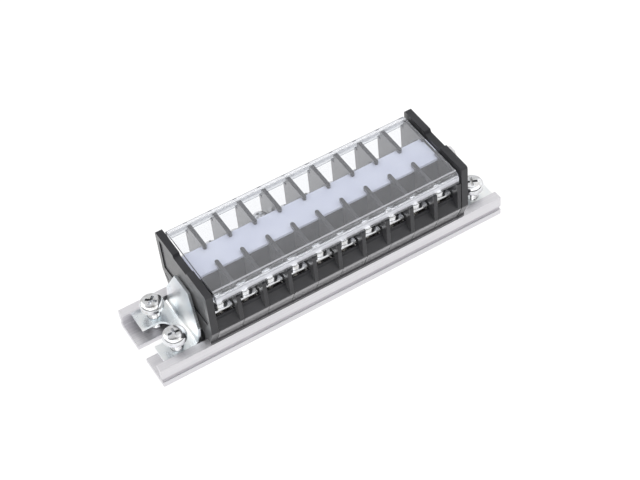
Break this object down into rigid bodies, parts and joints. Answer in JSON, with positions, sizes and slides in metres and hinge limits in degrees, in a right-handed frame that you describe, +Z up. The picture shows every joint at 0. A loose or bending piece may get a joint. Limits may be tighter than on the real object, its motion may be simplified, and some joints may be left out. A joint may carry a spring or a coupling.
{
  "type": "barrier terminal strip",
  "caption": "Barrier terminal strip: a row of double-screw terminal poles on an aluminium rail with a clear lift-off cover, end plates and screwed end brackets.",
  "frame": {"origin": "under the middle of the rail, on the surface that it stands on", "axes": "+X along the rail, +Y to the rear row of terminals, +Z up"},
  "size_m": [0.115, 0.03, 0.029],
  "materials": {
    "rail_metal": "satin mill finish",
    "housing": "fine matt moulded",
    "clear_cover": "clear polished",
    "marking": "smooth, slightly lilac white",
    "zinc_sheet": "bright zinc plated",
    "screw_metal": "bright plated",
    "bar_metal": "nickel plated"
  },
  "bodies": {
    "row": {"rail": "rail_metal", "end_plate_left": "housing", "end_plate_right": "housing", "end_bracket_left": "zinc_sheet", "end_bracket_right": "zinc_sheet", "bracket_screws": "screw_metal", "marking_strip": "marking", "conductor_bars": "bar_metal", "pole_1": "housing", "pole_2": "housing", "pole_3": "housing", "pole_4": "housing", "pole_5": "housing", "pole_6": "housing", "pole_7": "housing", "pole_8": "housing", "pole_9": "housing", "pole_10": "housing"},
    "cover": {"cover": "clear_cover"},
    "front_clamp_1": {"front_washer_1": "screw_metal"},
    "front_driver_1": {"front_screw_1": "screw_metal"},
    "front_clamp_2": {"front_washer_2": "screw_metal"},
    "front_driver_2": {"front_screw_2": "screw_metal"},
    "front_clamp_3": {"front_washer_3": "screw_metal"},
    "front_driver_3": {"front_screw_3": "screw_metal"},
    "front_clamp_4": {"front_washer_4": "screw_metal"},
    "front_driver_4": {"front_screw_4": "screw_metal"},
    "front_clamp_5": {"front_washer_5": "screw_metal"},
    "front_driver_5": {"front_screw_5": "screw_metal"},
    "front_clamp_6": {"front_washer_6": "screw_metal"},
    "front_driver_6": {"front_screw_6": "screw_metal"},
    "front_clamp_7": {"front_washer_7": "screw_metal"},
    "front_driver_7": {"front_screw_7": "screw_metal"},
    "front_clamp_8": {"front_washer_8": "screw_metal"},
    "front_driver_8": {"front_screw_8": "screw_metal"},
    "front_clamp_9": {"front_washer_9": "screw_metal"},
    "front_driver_9": {"front_screw_9": "screw_metal"},
    "front_clamp_10": {"front_washer_10": "screw_metal"},
    "front_driver_10": {"front_screw_10": "screw_metal"},
    "rear_clamp_1": {"rear_washer_1": "screw_metal"},
    "rear_driver_1": {"rear_screw_1": "screw_metal"},
    "rear_clamp_2": {"rear_washer_2": "screw_metal"},
    "rear_driver_2": {"rear_screw_2": "screw_metal"},
    "rear_clamp_3": {"rear_washer_3": "screw_metal"},
    "rear_driver_3": {"rear_screw_3": "screw_metal"},
    "rear_clamp_4": {"rear_washer_4": "screw_metal"},
    "rear_driver_4": {"rear_screw_4": "screw_metal"},
    "rear_clamp_5": {"rear_washer_5": "screw_metal"},
    "rear_driver_5": {"rear_screw_5": "screw_metal"},
    "rear_clamp_6": {"rear_washer_6": "screw_metal"},
    "rear_driver_6": {"rear_screw_6": "screw_metal"},
    "rear_clamp_7": {"rear_washer_7": "screw_metal"},
    "rear_driver_7": {"rear_screw_7": "screw_metal"},
    "rear_clamp_8": {"rear_washer_8": "screw_metal"},
    "rear_driver_8": {"rear_screw_8": "screw_metal"},
    "rear_clamp_9": {"rear_washer_9": "screw_metal"},
    "rear_driver_9": {"rear_screw_9": "screw_metal"},
    "rear_clamp_10": {"rear_washer_10": "screw_metal"},
    "rear_driver_10": {"rear_screw_10": "screw_metal"}
  },
  "joints": [
    {"name": "cover_lift", "type": "slide", "parent": "row", "child": "cover", "axis": [0, 0, 1], "range_m": [0, 0.012]},
    {"name": "front_lift_1", "type": "slide", "parent": "row", "child": "front_clamp_1", "axis": [0, 0, 1], "range_m": [-0.00099, 0.00199]},
    {"name": "front_turn_1", "type": "hinge", "parent": "front_clamp_1", "child": "front_driver_1", "pos_m": [-0.03537, -0.009, 0.0162], "axis": [0, 0, 1], "range_deg": [-713.8, 1433.8]},
    {"name": "front_lift_2", "type": "slide", "parent": "row", "child": "front_clamp_2", "axis": [0, 0, 1], "range_m": [-0.00103, 0.00194]},
    {"name": "front_turn_2", "type": "hinge", "parent": "front_clamp_2", "child": "front_driver_2", "pos_m": [-0.02726, -0.009, 0.0162], "axis": [0, 0, 1], "range_deg": [-746.2, 1401.4]},
    {"name": "front_lift_3", "type": "slide", "parent": "row", "child": "front_clamp_3", "axis": [0, 0, 1], "range_m": [-0.00096, 0.00202]},
    {"name": "front_turn_3", "type": "hinge", "parent": "front_clamp_3", "child": "front_driver_3", "pos_m": [-0.01913, -0.009, 0.0162], "axis": [0, 0, 1], "range_deg": [-688.6, 1459]},
    {"name": "front_lift_4", "type": "slide", "parent": "row", "child": "front_clamp_4", "axis": [0, 0, 1], "range_m": [-0.00102, 0.00196]},
    {"name": "front_turn_4", "type": "hinge", "parent": "front_clamp_4", "child": "front_driver_4", "pos_m": [-0.01102, -0.009, 0.0162], "axis": [0, 0, 1], "range_deg": [-735.4, 1412.2]},
    {"name": "front_lift_5", "type": "slide", "parent": "row", "child": "front_clamp_5", "axis": [0, 0, 1], "range_m": [-0.00121, 0.00177]},
    {"name": "front_turn_5", "type": "hinge", "parent": "front_clamp_5", "child": "front_driver_5", "pos_m": [-0.0029, -0.009, 0.0162], "axis": [0, 0, 1], "range_deg": [-872.2, 1275.4]},
    {"name": "front_lift_6", "type": "slide", "parent": "row", "child": "front_clamp_6", "axis": [0, 0, 1], "range_m": [-0.00109, 0.00189]},
    {"name": "front_turn_6", "type": "hinge", "parent": "front_clamp_6", "child": "front_driver_6", "pos_m": [0.00522, -0.009, 0.0162], "axis": [0, 0, 1], "range_deg": [-785.8, 1361.8]},
    {"name": "front_lift_7", "type": "slide", "parent": "row", "child": "front_clamp_7", "axis": [0, 0, 1], "range_m": [-0.001, 0.00198]},
    {"name": "front_turn_7", "type": "hinge", "parent": "front_clamp_7", "child": "front_driver_7", "pos_m": [0.01334, -0.009, 0.0162], "axis": [0, 0, 1], "range_deg": [-721, 1426.6]},
    {"name": "front_lift_8", "type": "slide", "parent": "row", "child": "front_clamp_8", "axis": [0, 0, 1], "range_m": [-0.00097, 0.00201]},
    {"name": "front_turn_8", "type": "hinge", "parent": "front_clamp_8", "child": "front_driver_8", "pos_m": [0.02147, -0.009, 0.0162], "axis": [0, 0, 1], "range_deg": [-695.8, 1451.8]},
    {"name": "front_lift_9", "type": "slide", "parent": "row", "child": "front_clamp_9", "axis": [0, 0, 1], "range_m": [-0.00104, 0.00194]},
    {"name": "front_turn_9", "type": "hinge", "parent": "front_clamp_9", "child": "front_driver_9", "pos_m": [0.02959, -0.009, 0.0162], "axis": [0, 0, 1], "range_deg": [-753.4, 1394.2]},
    {"name": "front_lift_10", "type": "slide", "parent": "row", "child": "front_clamp_10", "axis": [0, 0, 1], "range_m": [-0.00101, 0.00197]},
    {"name": "front_turn_10", "type": "hinge", "parent": "front_clamp_10", "child": "front_driver_10", "pos_m": [0.03771, -0.009, 0.0162], "axis": [0, 0, 1], "range_deg": [-728.2, 1419.4]},
    {"name": "rear_lift_1", "type": "slide", "parent": "row", "child": "rear_clamp_1", "axis": [0, 0, 1], "range_m": [-0.00029, 0.00269]},
    {"name": "rear_turn_1", "type": "hinge", "parent": "rear_clamp_1", "child": "rear_driver_1", "pos_m": [-0.03537, 0.009, 0.0162], "axis": [0, 0, 1], "range_deg": [-209.8, 1937.8]},
    {"name": "rear_lift_2", "type": "slide", "parent": "row", "child": "rear_clamp_2", "axis": [0, 0, 1], "range_m": [-0.00034, 0.00265]},
    {"name": "rear_turn_2", "type": "hinge", "parent": "rear_clamp_2", "child": "rear_driver_2", "pos_m": [-0.02726, 0.009, 0.0162], "axis": [0, 0, 1], "range_deg": [-242.2, 1905.4]},
    {"name": "rear_lift_3", "type": "slide", "parent": "row", "child": "rear_clamp_3", "axis": [0, 0, 1], "range_m": [-0.00027, 0.00271]},
    {"name": "rear_turn_3", "type": "hinge", "parent": "rear_clamp_3", "child": "rear_driver_3", "pos_m": [-0.01913, 0.009, 0.0162], "axis": [0, 0, 1], "range_deg": [-195.4, 1952.2]},
    {"name": "rear_lift_4", "type": "slide", "parent": "row", "child": "rear_clamp_4", "axis": [0, 0, 1], "range_m": [-0.00249, 0.00049]},
    {"name": "rear_turn_4", "type": "hinge", "parent": "rear_clamp_4", "child": "rear_driver_4", "pos_m": [-0.01102, 0.009, 0.0162], "axis": [0, 0, 1], "range_deg": [-1797.4, 350.2]},
    {"name": "rear_lift_5", "type": "slide", "parent": "row", "child": "rear_clamp_5", "axis": [0, 0, 1], "range_m": [-0.00031, 0.00267]},
    {"name": "rear_turn_5", "type": "hinge", "parent": "rear_clamp_5", "child": "rear_driver_5", "pos_m": [-0.0029, 0.009, 0.0162], "axis": [0, 0, 1], "range_deg": [-224.2, 1923.4]},
    {"name": "rear_lift_6", "type": "slide", "parent": "row", "child": "rear_clamp_6", "axis": [0, 0, 1], "range_m": [-0.00036, 0.00263]},
    {"name": "rear_turn_6", "type": "hinge", "parent": "rear_clamp_6", "child": "rear_driver_6", "pos_m": [0.00522, 0.009, 0.0162], "axis": [0, 0, 1], "range_deg": [-256.6, 1891]},
    {"name": "rear_lift_7", "type": "slide", "parent": "row", "child": "rear_clamp_7", "axis": [0, 0, 1], "range_m": [-0.00028, 0.0027]},
    {"name": "rear_turn_7", "type": "hinge", "parent": "rear_clamp_7", "child": "rear_driver_7", "pos_m": [0.01334, 0.009, 0.0162], "axis": [0, 0, 1], "range_deg": [-202.6, 1945]},
    {"name": "rear_lift_8", "type": "slide", "parent": "row", "child": "rear_clamp_8", "axis": [0, 0, 1], "range_m": [-0.00032, 0.00265]},
    {"name": "rear_turn_8", "type": "hinge", "parent": "rear_clamp_8", "child": "rear_driver_8", "pos_m": [0.02147, 0.009, 0.0162], "axis": [0, 0, 1], "range_deg": [-235, 1912.6]},
    {"name": "rear_lift_9", "type": "slide", "parent": "row", "child": "rear_clamp_9", "axis": [0, 0, 1], "range_m": [-0.00026, 0.00272]},
    {"name": "rear_turn_9", "type": "hinge", "parent": "rear_clamp_9", "child": "rear_driver_9", "pos_m": [0.02959, 0.009, 0.0162], "axis": [0, 0, 1], "range_deg": [-184.6, 1963]},
    {"name": "rear_lift_10", "type": "slide", "parent": "row", "child": "rear_clamp_10", "axis": [0, 0, 1], "range_m": [-0.0003, 0.00268]},
    {"name": "rear_turn_10", "type": "hinge", "parent": "rear_clamp_10", "child": "rear_driver_10", "pos_m": [0.03771, 0.009, 0.0162], "axis": [0, 0, 1], "range_deg": [-217, 1930.6]}
  ],
  "couplings": [
    {"joint": "front_turn_1", "follows": "front_lift_1", "rad_per_m": 12566},
    {"joint": "front_turn_2", "follows": "front_lift_2", "rad_per_m": 12566},
    {"joint": "front_turn_3", "follows": "front_lift_3", "rad_per_m": 12566},
    {"joint": "front_turn_4", "follows": "front_lift_4", "rad_per_m": 12566},
    {"joint": "front_turn_5", "follows": "front_lift_5", "rad_per_m": 12566},
    {"joint": "front_turn_6", "follows": "front_lift_6", "rad_per_m": 12566},
    {"joint": "front_turn_7", "follows": "front_lift_7", "rad_per_m": 12566},
    {"joint": "front_turn_8", "follows": "front_lift_8", "rad_per_m": 12566},
    {"joint": "front_turn_9", "follows": "front_lift_9", "rad_per_m": 12566},
    {"joint": "front_turn_10", "follows": "front_lift_10", "rad_per_m": 12566},
    {"joint": "rear_turn_1", "follows": "rear_lift_1", "rad_per_m": 12566},
    {"joint": "rear_turn_2", "follows": "rear_lift_2", "rad_per_m": 12566},
    {"joint": "rear_turn_3", "follows": "rear_lift_3", "rad_per_m": 12566},
    {"joint": "rear_turn_4", "follows": "rear_lift_4", "rad_per_m": 12566},
    {"joint": "rear_turn_5", "follows": "rear_lift_5", "rad_per_m": 12566},
    {"joint": "rear_turn_6", "follows": "rear_lift_6", "rad_per_m": 12566},
    {"joint": "rear_turn_7", "follows": "rear_lift_7", "rad_per_m": 12566},
    {"joint": "rear_turn_8", "follows": "rear_lift_8", "rad_per_m": 12566},
    {"joint": "rear_turn_9", "follows": "rear_lift_9", "rad_per_m": 12566},
    {"joint": "rear_turn_10", "follows": "rear_lift_10", "rad_per_m": 12566}
  ]
}
